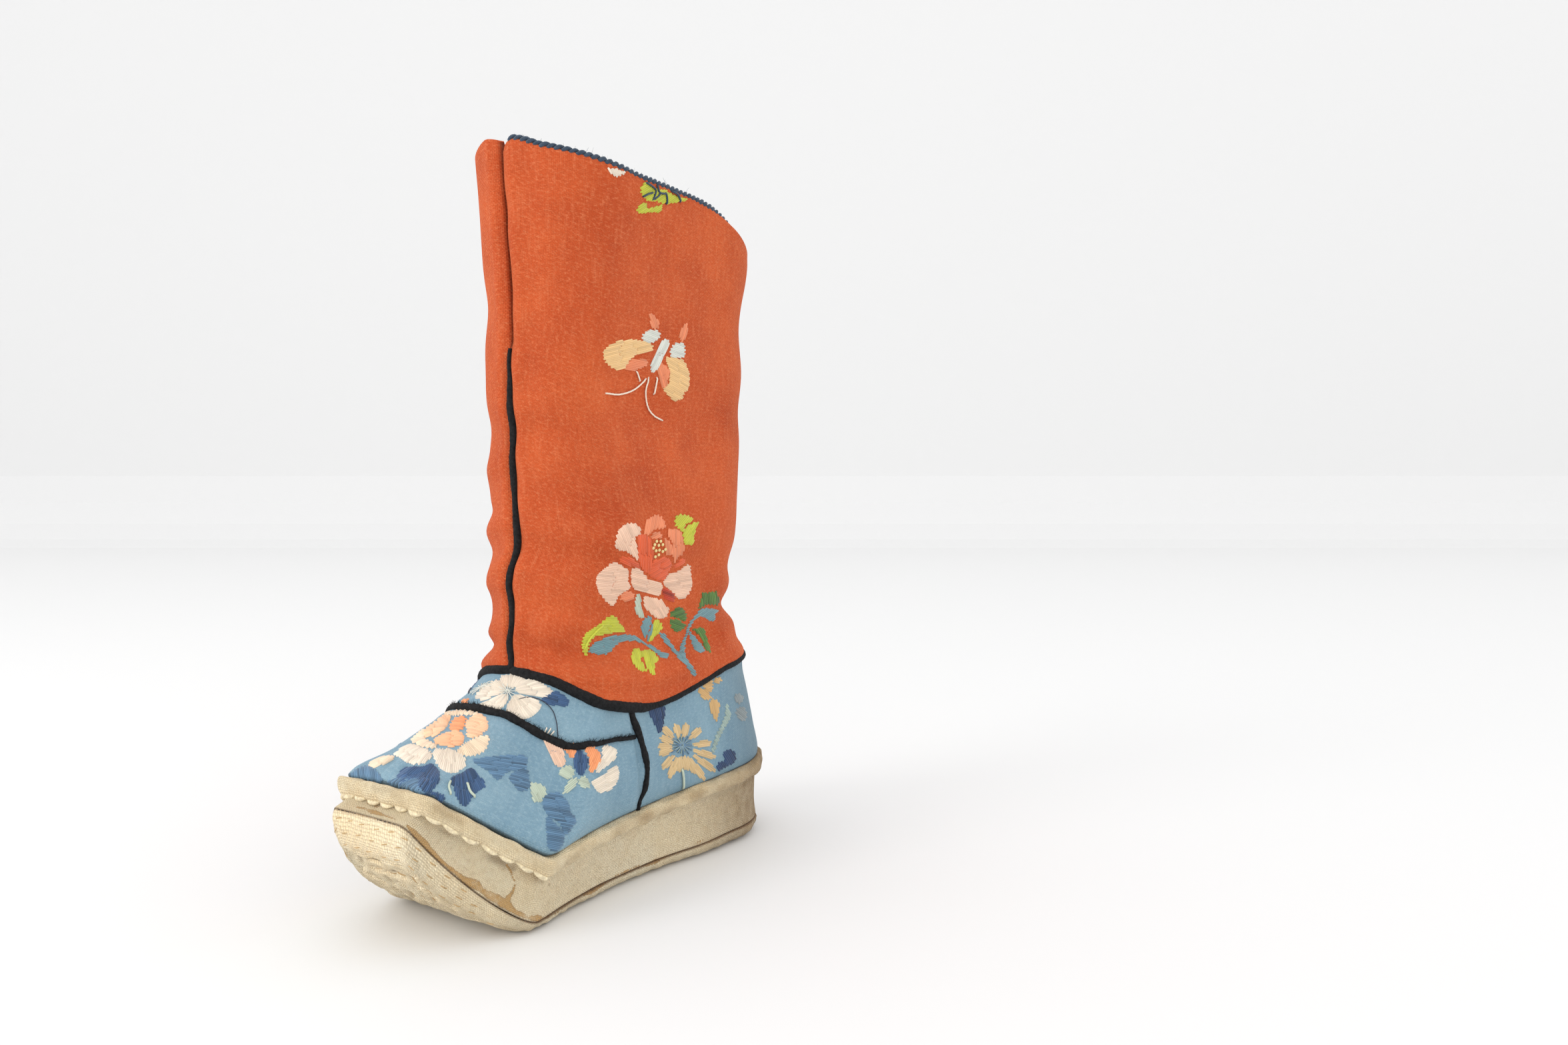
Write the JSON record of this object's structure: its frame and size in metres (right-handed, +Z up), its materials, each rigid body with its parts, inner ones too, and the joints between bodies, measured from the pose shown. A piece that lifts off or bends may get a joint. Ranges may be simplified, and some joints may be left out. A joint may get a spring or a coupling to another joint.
{
  "type": "child boot",
  "caption": "Tall child's cloth boot: soft shaft open at the top, hollow foot upper with piped seams, and a thick canvas sole with an upturned toe.",
  "frame": {"origin": "on the floor below the middle of the boot's length and width", "axes": "+Z up, toe towards -Y, the wearer's left towards +X"},
  "size_m": [0.0664, 0.1574, 0.2225],
  "materials": {
    "canvas": "unbleached cotton canvas, plain weave, quilted and a little soiled",
    "welt_canvas": "cotton canvas rolled over a soft core, stitched on with hemp cord",
    "insole_cotton": "plain cotton over layered cloth, matt",
    "blue_silk": "fine silk satin with satin-stitch embroidery",
    "orange_silk": "fine silk satin with satin-stitch embroidery, soft sheen",
    "black_piping": "black cotton piping, slightly fuzzy",
    "navy_binding": "narrow dark blue silk binding"
  },
  "bodies": {
    "root": {"outsole": "canvas", "midsole": "canvas", "welt": "welt_canvas", "insole": "insole_cotton", "foot_upper": "blue_silk", "shaft": "orange_silk", "ankle_piping": "black_piping", "vamp_piping": "black_piping", "side_piping_left": "black_piping", "side_piping_right": "black_piping", "front_piping": "black_piping", "collar_binding": "navy_binding"}
  },
  "joints": []
}
